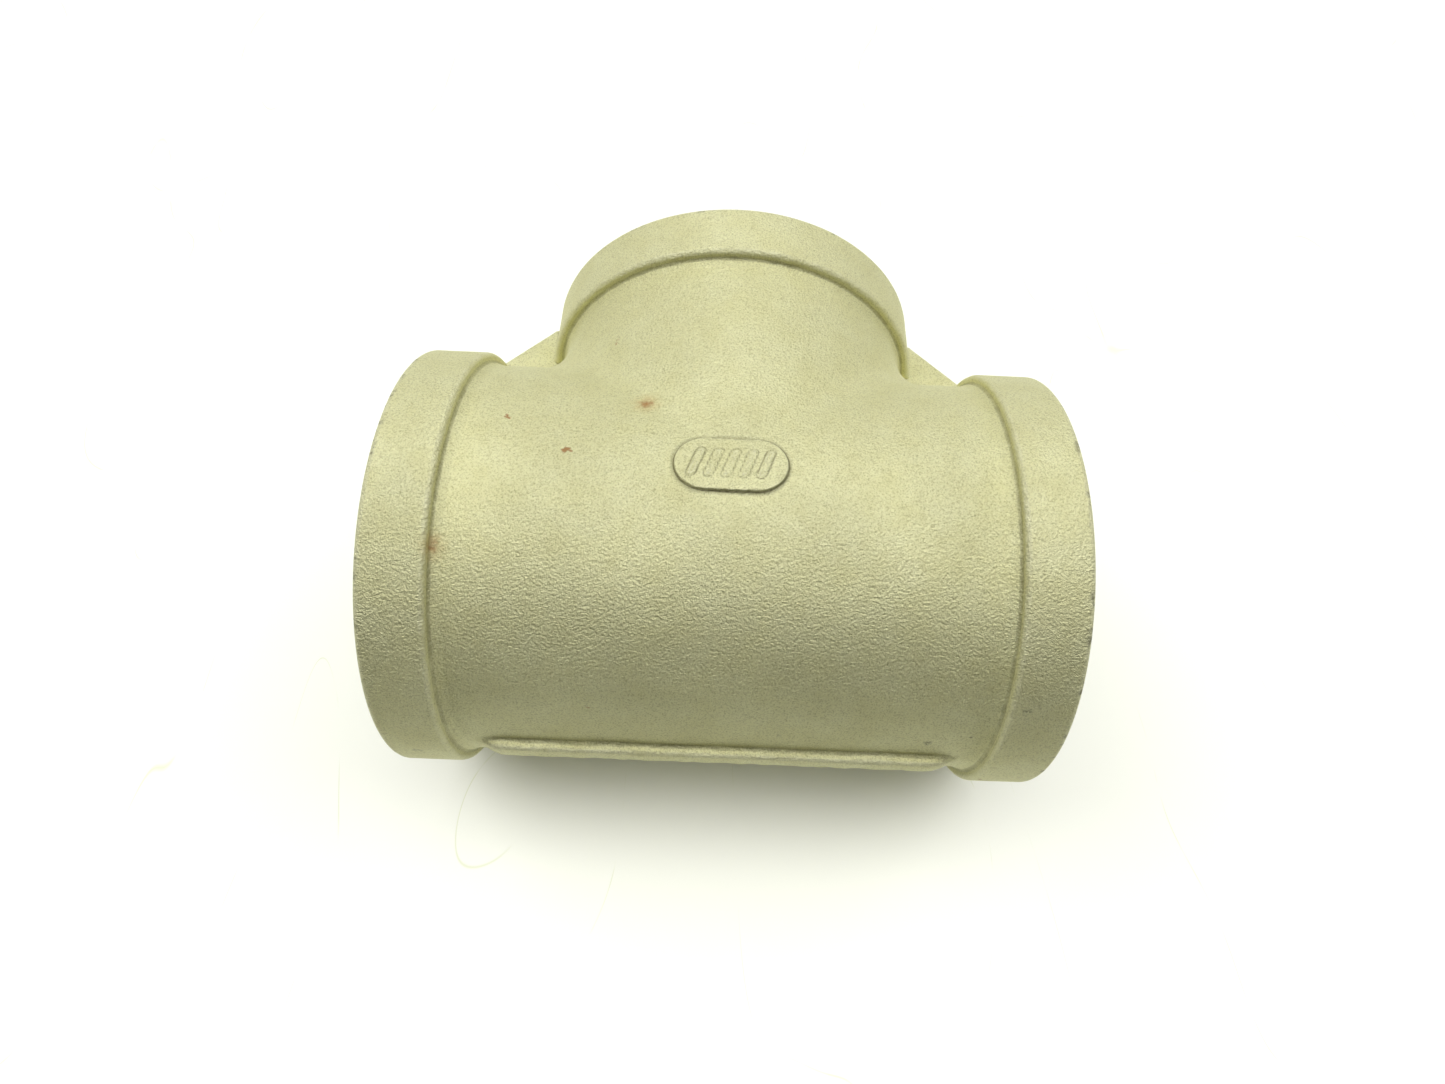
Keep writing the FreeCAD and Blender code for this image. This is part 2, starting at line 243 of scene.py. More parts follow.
def hollowArc(t, radius, ball, steps):
    # the ball of that size touching both pipes at angle t has its centre (R + b)(cos t, cos t, sin t);
    # the arc sweeps from its touch on the run, b (0, -cos t, -sin t), to that on the branch,
    # b (-cos t, 0, -sin t)
    t, ball = t[:, None], ball[:, None]
    cosT, sinT = np.cos(t), np.sin(t)
    turn = np.maximum(np.arccos(np.clip(sinT ** 2, -1, 1)), 1e-5)
    a = np.sin((1 - steps) * turn) / np.sin(turn)
    b = np.sin(steps * turn) / np.sin(turn)
    centre = radius + ball
    return np.stack([centre * cosT - ball * b * cosT, centre * cosT - ball * a * cosT,
                     centre * sinT - ball * (a + b) * sinT], -1)


def alongRun(t, x, r):
    # profile (x, r) turned by t about the run: (x, r cos t, r sin t)
    return np.stack(np.broadcast_arrays(x, r * np.cos(t)[:, None], r * np.sin(t)[:, None]), -1)


def alongBranch(t, y, r):
    # profile (y, r) turned by t about the branch: (r cos t, y, r sin t)
    return np.stack(np.broadcast_arrays(r * np.cos(t)[:, None], y, r * np.sin(t)[:, None]), -1)


def ballSize(t):
    # the hollow's size, less where it would run into the feet of the bands: R + b <= room / cos t
    room = min(runBand[-1, 0], branchBand[-1, 0]) - 0.3
    limit = room / np.maximum(np.cos(t), 0.05) - barrel
    wanted = tee["crotchRound"]
    softer = 0.5 * (wanted + limit - np.sqrt((wanted - limit) ** 2 + 1.0))
    return np.minimum(softer, limit)


def strips(t):
    # one closed strip for each angle t: run band, barrel, hollow, neck, branch band, back along the bores
    ball = ballSize(t)
    touch = ((barrel + ball) * np.cos(t))[:, None]
    runFoot, branchFoot = runBand[-1, 0], branchBand[-1, 0]
    small = np.full_like(t, tee["boreCrotchRound"])
    innerTouch = ((bore + small) * np.cos(t))[:, None]
    return np.concatenate([
        alongRun(t, runBand[:, 0], runBand[:, 1]),
        alongRun(t, runFoot + (touch - runFoot) * straight, barrel),
        hollowArc(t, barrel, ball, arcSteps),
        alongBranch(t, touch + (branchFoot - touch) * straight, barrel),
        alongBranch(t, branchBand[::-1, 0], branchBand[::-1, 1]),
        alongBranch(t, endAt + (innerTouch - endAt) * inside, bore),
        hollowArc(t, bore, small, innerArcSteps[::-1]),
        alongRun(t, innerTouch + (endAt - innerTouch) * inside, bore),
    ], 1)


def wallSection(base, out, reach, root, edge, half, steps):
    # a wall of that half thickness standing out from base: in the plane across it the section is a hollow
    # (root (1 - cos u), fall (1 - sin u)), a level stretch, a round (edge sin u, edge cos u) and an upright
    # face; base and out are its points and outward directions, reach how far out it goes, for every column
    top = base[:, 2]
    root = np.minimum(root, 0.5 * reach)
    edge = np.minimum(edge, 0.42 * reach)
    rows = []
    for kind, k in steps:
        u = k * math.pi / 2
        if kind == "root":
            d, z = root * (1 - math.cos(u)), half + (top - half) * (1 - math.sin(u))
        elif kind == "level":
            d, z = root + (reach - edge - root) * k, np.full_like(reach, half)
        elif kind == "edge":
            d, z = reach - edge + edge * math.sin(u), half - edge + edge * math.cos(u)
        else:
            d, z = reach, (half - edge) * (1 - k)
        rows.append(np.stack([base[:, 0] + out[:, 0] * d, base[:, 1] + out[:, 1] * d, z], -1))
    return np.array(rows)


def sectionSteps(level):
    steps = [("root", k) for k in np.linspace(0, 1, 7)[1:]]
    steps += [("level", k) for k in np.linspace(0, 1, level + 1)[1:]]
    steps += [("edge", k) for k in np.linspace(0, 1, 5)[1:]]
    return steps + [("face", 0.5), ("face", 1.0)]


def withWall(rowsAbove, wall, base, raised):
    # rows of the plain surface above the wall, the wall's own rows, then the mirror image of both below
    mixed = base + raised[None, :, None] * (wall - base)
    lower = mixed[-2::-1] * [1, 1, -1]
    return np.concatenate([rowsAbove, mixed, lower, rowsAbove[::-1] * [1, 1, -1]])


# Right-hand half of the branch side: angles from straight up to the web's root, then the web.
webSteps = sectionSteps(6)
webTop = math.asin((tee["webHalf"] + tee["webRoot"]) / barrel)
upper = np.linspace(math.pi / 2, webTop, 58)
plain = strips(upper)
zone = strips(np.linspace(webTop, 0, len(webSteps) + 1)[1:])
root = plain[-1]
inWeb = np.zeros(root.shape[0], bool)
outerCount = len(runBand) + len(straight) + len(arcSteps) + len(straight) + len(branchBand)
inWeb[:outerCount] = (np.maximum(root[:outerCount, 0], root[:outerCount, 1]) <= webStart + 1e-6)
first, last = np.flatnonzero(inWeb)[[0, -1]]
length = np.concatenate([[0], np.cumsum(np.linalg.norm(np.diff(root[first:last + 1, :2], axis=0), axis=1))])
share = np.zeros(root.shape[0])
share[first:last + 1] = length / length[-1]
tip = tee["webReach"] - webStart
edgeLine = np.stack([webStart + (tip - webStart) * share, tip + (webStart - tip) * share], -1)
span = edgeLine - root[:, :2]
reach = np.linalg.norm(span, axis=1)
out = span / reach[:, None]
raised = inWeb.astype(float)
raised[[first, last]] = 0.75
wall = wallSection(root, out, reach, tee["webRoot"], tee["webEdge"], tee["webHalf"], webSteps)
rightHalf = withWall(plain, wall, zone, raised)

# Back half of the run with its rib, in columns from the right-hand face over the outside and back along
# the bore.
runFoot = runBand[-1, 0]
backX = np.concatenate([runBand[:, 0], runFoot * (1 - straight), [0], -runFoot * straight, -runBand[::-1, 0],
                        -endAt * (1 - inside), [0], endAt * inside])
backR = np.concatenate([runBand[:, 1], np.full(2 * len(straight) + 1, barrel), runBand[::-1, 1],
                        np.full(2 * len(inside) + 1, bore)])
ribSteps = sectionSteps(1)
ribTop = math.asin((tee["ribHalf"] + tee["ribRoot"]) / barrel)
plain = alongRun(np.linspace(math.pi / 2, math.pi - ribTop, 54), backX, backR)
zone = alongRun(np.linspace(math.pi - ribTop, math.pi, len(ribSteps) + 1)[1:], backX, backR)
root = plain[-1]
out = np.tile([0.0, -1.0], (len(root), 1))
reach = np.maximum(tee["ribReach"] + root[:, 1], 0.02)
isOutside = (backR > barrel - 0.01) & (np.abs(backX) < endAt - tee["runBandWidth"] + tee["bandCorner"])
fade = np.clip((runFoot + 1 - np.abs(backX)) / tee["ribFade"], 0, 1)
raised = np.where(isOutside, np.clip((tee["ribReach"] - backR) / 1.2, 0, 1) * fade * fade * (3 - 2 * fade), 0)
wall = wallSection(root, out, reach, tee["ribRoot"], tee["ribEdge"], tee["ribHalf"], ribSteps)
backHalf = withWall(plain, wall, zone, raised)


def gridCoordinates(grid):
    # u runs along the rows' turn and v along the strip, both as travelled length in mm
    v = np.concatenate([[0], np.cumsum(np.linalg.norm(np.diff(grid[0], axis=0), axis=1))])
    u = np.linspace(0, math.pi * barrel, grid.shape[0])
    return np.stack(np.broadcast_arrays(u[:, None], v[None, :]), -1).reshape(-1, 2)


patches = [rightHalf, rightHalf * [-1, 1, 1], backHalf]
points = np.concatenate([patch.reshape(-1, 3) for patch in patches])
starts = np.cumsum([0] + [patch.shape[0] * patch.shape[1] for patch in patches])
quads = np.concatenate([gridQuads(*patch.shape[:2], start, True) for patch, start in zip(patches, starts)])
uv = np.concatenate([gridCoordinates(patch) for patch in patches])
onFace = np.abs(np.maximum(np.abs(points[:, 0]), points[:, 1]) - endAt) < 0.001
casting = meshFrom("castBody", points, quads, uv, onFace[quads].all(1))


def castHeights(points, normals):
    # slow waves left by the wax pattern and the mould, with a coarser grain on the rib; nothing on the
    # machined faces, more in the cored waterway
    faceGap = endAt - np.maximum(np.abs(points[:, 0]), points[:, 1])
    onBody = np.clip((faceGap - 0.3) / 2, 0, 1)
    radius = np.minimum(np.hypot(points[:, 1], points[:, 2]), np.hypot(points[:, 0], points[:, 2]))
    inBore = radius < bore + 0.5
    onRib = np.clip((-points[:, 1] - barrel - 0.2) / 0.8, 0, 1) * (np.abs(points[:, 0]) < tee["ribGrainTo"])
    waves = 0.07 * lumps(points, 19, 1) + 0.045 * lumps(points, 8, 2) + 0.14 * onRib * lumps(points, 2.4, 6)
    return onBody * np.where(inBore, np.minimum(1.6 * waves, 0.1), waves)


roughened(casting, castHeights)
markHollows(casting)
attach(casting, "root")
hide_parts("tee_casting")
print("casting made")


# ---- the raised plate on top of the run

plate = {
    "length": 31.0,
    "width": 16.2,
    "centreY": -0.5,
    "height": 0.95,
    "edge": 0.3,         # rounding of its top edge
    "barsAt": (-9.6, -4.8, 0, 4.8, 9.6),
    "barLength": 6.5,
    "barHeight": 0.35,
    "sunk": 0.5,         # how far its underside lies below the barrel's surface
}


def plateSurface():
    # a stadium of that length and width: (s, w) goes round the outline and from the middle line out to it,
    # point = middle line (s) + w * half width * direction (s), lifted to sqrt((R + height)^2 - y^2)
    half = plate["width"] / 2
    middle = plate["length"] / 2 - half
    ends = np.linspace(-math.pi / 2, math.pi / 2, 41)
    sides = np.linspace(-1, 1, 29)[1:-1]
    spine = np.concatenate([np.full(41, middle), -middle * sides, np.full(41, -middle), middle * sides])
    turn = np.concatenate([ends, np.full(27, math.pi / 2), ends + math.pi, np.full(27, 1.5 * math.pi)])
    uneven = 1 + 0.012 * np.sin(3 * turn + spine * 0.3) + 0.008 * np.sin(spine * 1.9 + 1)
    edge, height = plate["edge"], plate["height"]
    u = np.linspace(0, math.pi / 2, 6)[1:]
    w = np.concatenate([np.linspace(0, half - edge, 19), half - edge + edge * np.sin(u),
                        half + np.array([0.1, 0.2, 0.4, 0.7, 1.1]), [0]])
    fall = np.concatenate([np.zeros(19), edge * (1 - np.cos(u)),
                           height - np.array([0.42, 0.22, 0.08, 0.01, -0.08]), [height + plate["sunk"]]])
    x = spine[None, :] + w[:, None] * (np.cos(turn) * uneven)[None, :]
    y = plate["centreY"] + w[:, None] * (np.sin(turn) * uneven)[None, :]
    z = np.sqrt((barrel + height) ** 2 - y ** 2) - fall[:, None]
    return np.stack([x, y, z], -1)


grid = plateSurface()
platePoints = grid.reshape(-1, 3)
sizePlate = meshFrom("raisedPlate", platePoints, gridQuads(*grid.shape[:2], 0, True), platePoints[:, :2])


def barGap(points):
    # how far each point lies from the nearest bar's middle line
    x, y = points[:, 0], points[:, 1] - plate["centreY"]
    beyond = np.maximum(np.abs(y) - plate["barLength"] / 2, 0)
    return np.min([np.hypot(x - centreX - 0.35 * y, beyond) for centreX in plate["barsAt"]], axis=0)


def plateHeights(points, normals):
    # a row of five blurred slanting bars cast on the plate, each a soft-edged rise, on slow waves
    rise = plate["barHeight"] * np.clip((1.25 - barGap(points)) / 0.5, 0, 1)
    top = np.clip((normals[:, 2] - 0.8) / 0.1, 0, 1)
    return top * rise + 0.05 * lumps(points, 3, 4) + 0.05 * lumps(points, 8, 5)


def barFoot(points):
    # painted shade round the foot of each bar, added to the plate's hollow measure
    return 0.3 * np.clip(1 - np.abs(barGap(points) - 1.4) / 0.75, 0, 1) * (points[:, 2] > 0)


roughened(sizePlate, plateHeights)
markHollows(sizePlate, barFoot)
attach(sizePlate, "root")
print("plate made")


# ---- the threads

thread = {
    "pitch": 2.309,          # 11 turns to the inch
    "crestRadius": 55.036,
    "rootRadius": 56.515,
    "flat": 0.385,           # width of crests and roots
    "length": 30.0,
    "mouthRadius": 57.0,     # start of the lead-in chamfer on the face
    "around": 240,           # points in one turn
}


def threadSurface():
    # axial place h = h0 + pitch * angle / 2 pi, held between 0 and the length; the radius is the thread's
    # section at h0, but never less than the chamfers: bore - h at the inner end, mouth - (length - h) at
    # the mouth
    pitch, length, flat = thread["pitch"], thread["length"], thread["flat"]
    crest, deep = thread["crestRadius"], thread["rootRadius"]
    flank = pitch / 2 - flat
    section = np.array([[0, crest], [flat, crest], [flat + flank / 3, crest + (deep - crest) / 3],
                        [flat + flank * 2 / 3, crest + (deep - crest) * 2 / 3], [flat + flank, deep],
                        [2 * flat + flank, deep], [2 * flat + flank * 4 / 3, crest + (deep - crest) * 2 / 3],
                        [2 * flat + flank * 5 / 3, crest + (deep - crest) / 3]])
    turns = math.ceil(length / pitch) + 1
    h0 = (np.arange(-1, turns)[:, None] * pitch + section[None, :, 0]).ravel()
    r0 = np.tile(section[:, 1], turns + 1)
    angle = np.linspace(0, 2 * math.pi, thread["around"] + 1)
    h = np.clip(h0[:, None] + pitch * angle[None, :] / (2 * math.pi), 0, length)
    r = np.maximum(r0[:, None], np.maximum(bore - h, thread["mouthRadius"] - (length - h)))
    h = np.concatenate([h, np.full((1, len(angle)), length), np.zeros((1, len(angle)))])
    r = np.concatenate([r, np.full((2, len(angle)), bore)])
    return np.stack(np.broadcast_arrays(r * np.cos(angle), r * np.sin(angle), h), -1)


ring = threadSurface()
ringRows, ringColumns = ring.shape[:2]
ringU, ringV = np.meshgrid(np.arange(ringColumns), np.arange(ringRows))
ringStep = 2 * math.pi * bore / thread["around"]
ringUv = np.stack([ringU * ringStep, ring[:, :, 2] + 0.4 * ringV], -1).reshape(-1, 2)
inner = endAt - thread["length"]
threadRings = []
for name, node, facing, place in (
    ("leftThread", "run_thread_left", Matrix.Rotation(-math.pi / 2, 3, "Y"), (-inner, 0, 0)),
    ("rightThread", "run_thread_right", Matrix.Rotation(math.pi / 2, 3, "Y"), (inner, 0, 0)),
    ("branchThread", "branch_thread", Matrix.Rotation(-math.pi / 2, 3, "X"), (0, inner, 0)),
):
    points = ring.reshape(-1, 3) @ np.array(facing).T + place
    piece = meshFrom(name, points, gridQuads(ringRows, ringColumns), ringUv)
    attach(piece, "root")
    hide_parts(node)
    threadRings.append(piece)
print("threads made")


# ---- materials

def addNode(tree, kind, values=None, links=None, **settings):
    # a node of that kind, its settings, the values of its sockets and the outputs that feed them
    node = tree.nodes.new("ShaderNode" + kind)
    for name, value in settings.items():
        setattr(node, name, value)
    for socket, value in (values or {}).items():
        node.inputs[socket].default_value = value
    for socket, output in (links or {}).items():
        tree.links.new(output, node.inputs[socket])
    return node


def newMaterial(name):
    material = bpy.data.materials.new(name)
    material.use_nodes = True
    material.node_tree.nodes.clear()
    return material, material.node_tree


# Investment-cast stainless, blasted and matte: faintly khaki, with an orange peel 1 to 2 mm across that
# shows best where the light falls off, slow mottling, dirt and painted shade in the hollows, a painted
# highlight with wear on the corners, a painted shadow round the plate, and rust specks.
cast = {
    "metal": "#e3e2bb",
    "mottled": "#dfddb2",
    "speck": "#bdba90",
    # dark tone for dirt and painted shade in the hollows, and for the painted shadow round the plate's foot
    "dirtAndShade": "#6a6547",
    "rust": "#94601c",
    "stain": "#cfae6c",
    "scuff": "#504c38",
    # lighter tone for the painted highlight and wear on the corners
    "cornerWearAndHighlight": "#ebead2",
    "roughness": 0.67,
    "peel": 1.6,         # mm from one bump to the next
    "peelDepth": 0.6,    # mm
    "sand": 0.5,         # mm, the finer grain on top of it
    "mottling": 12.0,    # mm
    "wander": 1.0,       # mm by which a spot's edge strays
}


# Wear: two rust marks placed at given spots against the tee's own dimensions, and the rest strewn by formula
# over every side.
wear = {
    "bandMarkAngle": 25,    # degrees in front of the top, at the foot of the left band
    "neckMarkX": -25,       # at the foot of the neck
    "neckMarkAngle": -20,
    "rustRadius": 3.0,
    "stainRadius": 6.0,
    "rustCell": 9.0,        # mm, one speck at most in each cell
    "rustShare": 0.06,      # of the cells that show a speck
    "rustSpeck": 1.7,       # radius of the largest speck
    "scuffCell": 21.0,
    "scuffShare": 0.3,
    "scuffSpeck": 2.6,
    "poreCell": 8.0,
    "poreShare": 0.4,
    "poreSpeck": 0.5,
    "rustySide": (-40, 35, 50),   # specks lie thickest round here, on the left of the neck
    "rustyReach": 50.0,
    "rustyMore": 0.12,      # added to the share there
}


def onBarrel(x, degrees):
    # the place x along the run and that angle in front of the top: (x, -R sin a, R cos a), in m
    angle = math.radians(degrees)
    place = np.array([x, -barrel * math.sin(angle), barrel * math.cos(angle)])
    return tuple((place + crossing) / 1000)


def markMask(tree, place, middles, radius):
    # the largest of 1 - distance / radius over the middles
    mask = 0.0
    for middle in middles:
        distance = addNode(tree, "VectorMath", {1: middle}, {0: place}, operation="DISTANCE")
        fall = addNode(tree, "Math", {1: -1000 / radius, 2: 1.0}, {0: distance.outputs["Value"]},
                       operation="MULTIPLY_ADD")
        if mask:
            fall = addNode(tree, "Math", None, {0: fall.outputs[0], 1: mask}, operation="MAXIMUM")
        mask = fall.outputs[0]
    return mask


def strewn(tree, place, cell, share, radius, more=None):
    # cells of that size have one spot each; only that share of them shows, with radii up to radius, and more
    # adds to the share where it is above 0
    cells = addNode(tree, "TexVoronoi", {"Scale": 1000 / cell}, {"Vector": place})
    pick = addNode(tree, "SeparateXYZ", None, {0: cells.outputs["Color"]}).outputs[0]
    if more:
        pick = addNode(tree, "Math", None, {0: pick, 1: more}, operation="ADD").outputs[0]
    size = addNode(tree, "MapRange", {"From Min": 1 - share, "From Max": 1.0, "To Max": radius / cell},
                   {"Value": pick})
    gap = addNode(tree, "Math", None, {0: size.outputs["Result"], 1: cells.outputs["Distance"]},
                  operation="SUBTRACT")
    return addNode(tree, "MapRange", {"From Min": 0.0, "From Max": 0.5 * radius / cell},
                   {"Value": gap.outputs[0]}).outputs["Result"]


def castStainless():
    material, tree = newMaterial("castStainless")
    place = addNode(tree, "TexCoord").outputs["Object"]
    hollow = addNode(tree, "Attribute", attribute_name="hollow").outputs["Fac"]
    axes = addNode(tree, "SeparateXYZ", None, {0: place})

    # the grain: orange peel with finer sand on it, drawn as height, deepest in patches and on the corners
    peel = addNode(tree, "TexNoise", {"Scale": 2000 / cast["peel"], "Detail": 3.0, "Roughness": 0.6},
                   {"Vector": place})
    sand = addNode(tree, "TexNoise", {"Scale": 2000 / cast["sand"], "Detail": 1.0}, {"Vector": place})
    broken = addNode(tree, "TexNoise", {"Scale": 1000 / 4, "Detail": 4.0}, {"Vector": place})
    uneven = addNode(tree, "Math", {1: 0.36, 2: -0.18}, {0: broken.outputs["Fac"]}, operation="MULTIPLY_ADD")
    bend = addNode(tree, "Math", None, {0: hollow, 1: uneven.outputs[0]}, operation="ADD")
    # painted highlight with edge wear: a lighter tone on the sharpest corners, which also deepens the grain
    # there
    cornerWearAndHighlight = addNode(tree, "MapRange", {"From Min": -0.14, "From Max": -0.4, "To Max": 0.35},
                   {"Value": bend.outputs[0]}, interpolation_type="SMOOTHSTEP")
    patch = addNode(tree, "TexNoise", {"Scale": 1000 / 30, "Detail": 1.0}, {"Vector": place})
    depth = addNode(tree, "MapRange", {"From Min": 0.35, "From Max": 0.65, "To Min": 0.8, "To Max": 1.0},
                    {"Value": patch.outputs["Fac"]})
    deeper = addNode(tree, "Math", None, {0: depth.outputs["Result"], 1: cornerWearAndHighlight.outputs["Result"]},
                     operation="ADD", use_clamp=True)
    height = addNode(tree, "Math", {1: 0.35}, {0: sand.outputs["Fac"], 2: peel.outputs["Fac"]},
                     operation="MULTIPLY_ADD")
    bump = addNode(tree, "Bump", {"Distance": cast["peelDepth"] / 1000},
                   {"Strength": deeper.outputs[0], "Height": height.outputs[0]})

    # slow mottling between two tones, and fine darker specks
    clouds = addNode(tree, "TexNoise", {"Scale": 1000 / cast["mottling"], "Detail": 6.0, "Roughness": 0.7},
                     {"Vector": place})
    tone = addNode(tree, "MapRange", {"From Min": 0.36, "From Max": 0.64}, {"Value": clouds.outputs["Fac"]})
    colour = addNode(tree, "Mix", {"A": toLinear(cast["metal"]), "B": toLinear(cast["mottled"])},
                     {"Factor": tone.outputs["Result"]}, data_type="RGBA")
    specks = addNode(tree, "TexNoise", {"Scale": 1000 / 0.5, "Detail": 2.0, "Roughness": 0.6},
                     {"Vector": place})
    speck = addNode(tree, "MapRange", {"From Min": 0.48, "From Max": 0.7, "To Max": 0.8},
                    {"Value": specks.outputs["Fac"]})

    # dirt and painted shade: a dark tone in the sharpest hollows, where the grooves at the band and rib roots
    # lie in shade
    dirtAndShade = addNode(tree, "MapRange", {"From Min": 0.12, "From Max": 0.6, "To Max": 0.5},
                    {"Value": bend.outputs[0]}, interpolation_type="SMOOTHSTEP")

    # painted shadow round the foot of the raised plate, densest at its wall; the formula is the plate's own
    # outline
    half = plate["width"] / 2000
    offX = addNode(tree, "Math", None, {0: axes.outputs[0]}, operation="ABSOLUTE")
    pastX = addNode(tree, "Math", {1: half - plate["length"] / 2000}, {0: offX.outputs[0]}, operation="ADD")
    endX = addNode(tree, "Math", {1: 0.0}, {0: pastX.outputs[0]}, operation="MAXIMUM")
    offY = addNode(tree, "Math", {1: -(plate["centreY"] + crossing[1]) / 1000}, {0: axes.outputs[1]},
                   operation="ADD")
    fromSpine = addNode(tree, "CombineXYZ", None, {0: endX.outputs[0], 1: offY.outputs[0]})
    reach = addNode(tree, "VectorMath", None, {0: fromSpine.outputs[0]}, operation="LENGTH")
    outward = addNode(tree, "MapRange", {"From Min": half - 0.0001, "From Max": half + 0.0002},
                      {"Value": reach.outputs["Value"]})
    foot = addNode(tree, "MapRange", {"From Min": half + 0.0017, "From Max": half + 0.0002, "To Max": 0.42},
                   {"Value": reach.outputs["Value"]}, interpolation_type="SMOOTHSTEP")
    above = addNode(tree, "Math", {1: crossing[2] / 1000}, {0: axes.outputs[2]}, operation="GREATER_THAN")
    atFoot = addNode(tree, "Math", None, {0: outward.outputs["Result"], 1: foot.outputs["Result"]},
                     operation="MULTIPLY")
    plateFootShadow = addNode(tree, "Math", None, {0: atFoot.outputs[0], 1: above.outputs[0]},
                         operation="MULTIPLY")

    # spots whose edges stray: rust, stained round the two marks, then broken dark scuffs and pores
    strayed = addNode(tree, "TexNoise", {"Scale": 1000 / 1.6, "Detail": 3.0}, {"Vector": place})
    shift = addNode(tree, "VectorMath", {1: (0.5, 0.5, 0.5)}, {0: strayed.outputs["Color"]},
                    operation="SUBTRACT")
    near = addNode(tree, "VectorMath", {1: (cast["wander"] / 250,) * 3}, {0: shift.outputs[0], 2: place},
                   operation="MULTIPLY_ADD").outputs[0]
    bandFootX = tee["runBandWidth"] - endAt
    middles = (onBarrel(bandFootX, wear["bandMarkAngle"]), onBarrel(wear["neckMarkX"], wear["neckMarkAngle"]))
    rustySide = tuple((np.array(wear["rustySide"]) + crossing) / 1000)
    away = addNode(tree, "VectorMath", {1: rustySide}, {0: place}, operation="DISTANCE")
    rusty = addNode(tree, "MapRange",
                    {"From Min": wear["rustyReach"] / 1000, "From Max": 0.0, "To Max": wear["rustyMore"]},
                    {"Value": away.outputs["Value"]})
    rustSpecks = strewn(tree, near, wear["rustCell"], wear["rustShare"], wear["rustSpeck"],
                        rusty.outputs["Result"])
    marks = markMask(tree, near, middles, wear["rustRadius"])
    marked = addNode(tree, "Math", None, {0: marks, 1: rustSpecks}, operation="MAXIMUM")
    rust = addNode(tree, "MapRange", {"From Min": 0.05, "From Max": 1.0, "To Max": 0.85},
                   {"Value": marked.outputs[0]}, interpolation_type="SMOOTHSTEP")
    stain = addNode(tree, "MapRange", {"From Min": 0.0, "From Max": 1.0, "To Max": 0.35},
                    {"Value": markMask(tree, near, middles, wear["stainRadius"])},
                    interpolation_type="SMOOTHSTEP")
    torn = addNode(tree, "MapRange", {"From Min": 0.4, "From Max": 0.52, "To Max": 0.8},
                   {"Value": peel.outputs["Fac"]})
    scuffs = strewn(tree, near, wear["scuffCell"], wear["scuffShare"], wear["scuffSpeck"])
    scuff = addNode(tree, "Math", None, {0: scuffs, 1: torn.outputs["Result"]}, operation="MULTIPLY")
    pores = strewn(tree, near, wear["poreCell"], wear["poreShare"], wear["poreSpeck"])
    pore = addNode(tree, "Math", {1: 0.5}, {0: pores}, operation="MULTIPLY")

    # knocks along the three outer rims
    beyondX = addNode(tree, "Math", None, {0: axes.outputs[0]}, operation="ABSOLUTE")
    beyondY = addNode(tree, "Math", {1: -crossing[1] / 1000}, {0: axes.outputs[1]}, operation="ADD")
    outermost = addNode(tree, "Math", None, {0: beyondX.outputs[0], 1: beyondY.outputs[0]},
                        operation="MAXIMUM")
    rim = addNode(tree, "MapRange", {"From Min": (endAt - 2.4) / 1000, "From Max": (endAt - 0.6) / 1000},
                  {"Value": outermost.outputs[0]})
    knocks = addNode(tree, "TexNoise", {"Scale": 1000 / 5, "Detail": 4.0, "Roughness": 0.7},
                     {"Vector": place})
    knocked = addNode(tree, "MapRange", {"From Min": 0.55, "From Max": 0.64, "To Max": 0.7},
                      {"Value": knocks.outputs["Fac"]})
    knock = addNode(tree, "Math", None, {0: rim.outputs["Result"], 1: knocked.outputs["Result"]},
                    operation="MULTIPLY")

    # tones laid over the metal in turn: specks, painted highlight and wear on the corners, dirt and painted
    # shade in the hollows, painted shadow round the plate, stains, pores, knocks, scuffs and rust
    for mask, hexColour in ((speck.outputs["Result"], cast["speck"]), (cornerWearAndHighlight.outputs["Result"], cast["cornerWearAndHighlight"]),
                            (dirtAndShade.outputs["Result"], cast["dirtAndShade"]),
                            (plateFootShadow.outputs[0], cast["dirtAndShade"]), (stain.outputs["Result"], cast["stain"]),
                            (pore.outputs[0], cast["scuff"]), (knock.outputs[0], cast["scuff"]),
                            (scuff.outputs[0], cast["scuff"]), (rust.outputs["Result"], cast["rust"])):
        colour = addNode(tree, "Mix", {"B": toLinear(hexColour)},
                         {"Factor": mask, "A": colour.outputs["Result"]}, data_type="RGBA")
    metallic = addNode(tree, "Math", {0: 1.0}, {1: rust.outputs["Result"]}, operation="SUBTRACT")
    rough = addNode(tree, "MapRange", {"From Min": 0.3, "From Max": 0.7, "To Min": cast["roughness"] - 0.02,
                                       "To Max": cast["roughness"] + 0.02}, {"Value": clouds.outputs["Fac"]})
    shader = addNode(tree, "BsdfPrincipled", None, {
        "Base Color": colour.outputs["Result"], "Metallic": metallic.outputs[0],
        "Roughness": rough.outputs["Result"], "Normal": bump.outputs["Normal"]})
    addNode(tree, "OutputMaterial", None, {"Surface": shader.outputs["BSDF"]})
    return material


# The same steel turned on a lathe: brighter and greyer, with tool marks 0.25 mm apart that run round the
# mouth.
turned = {
    "metal": "#dcdcd0",
    "roughness": 0.3,
    "feed": 0.25,        # mm between tool marks
}


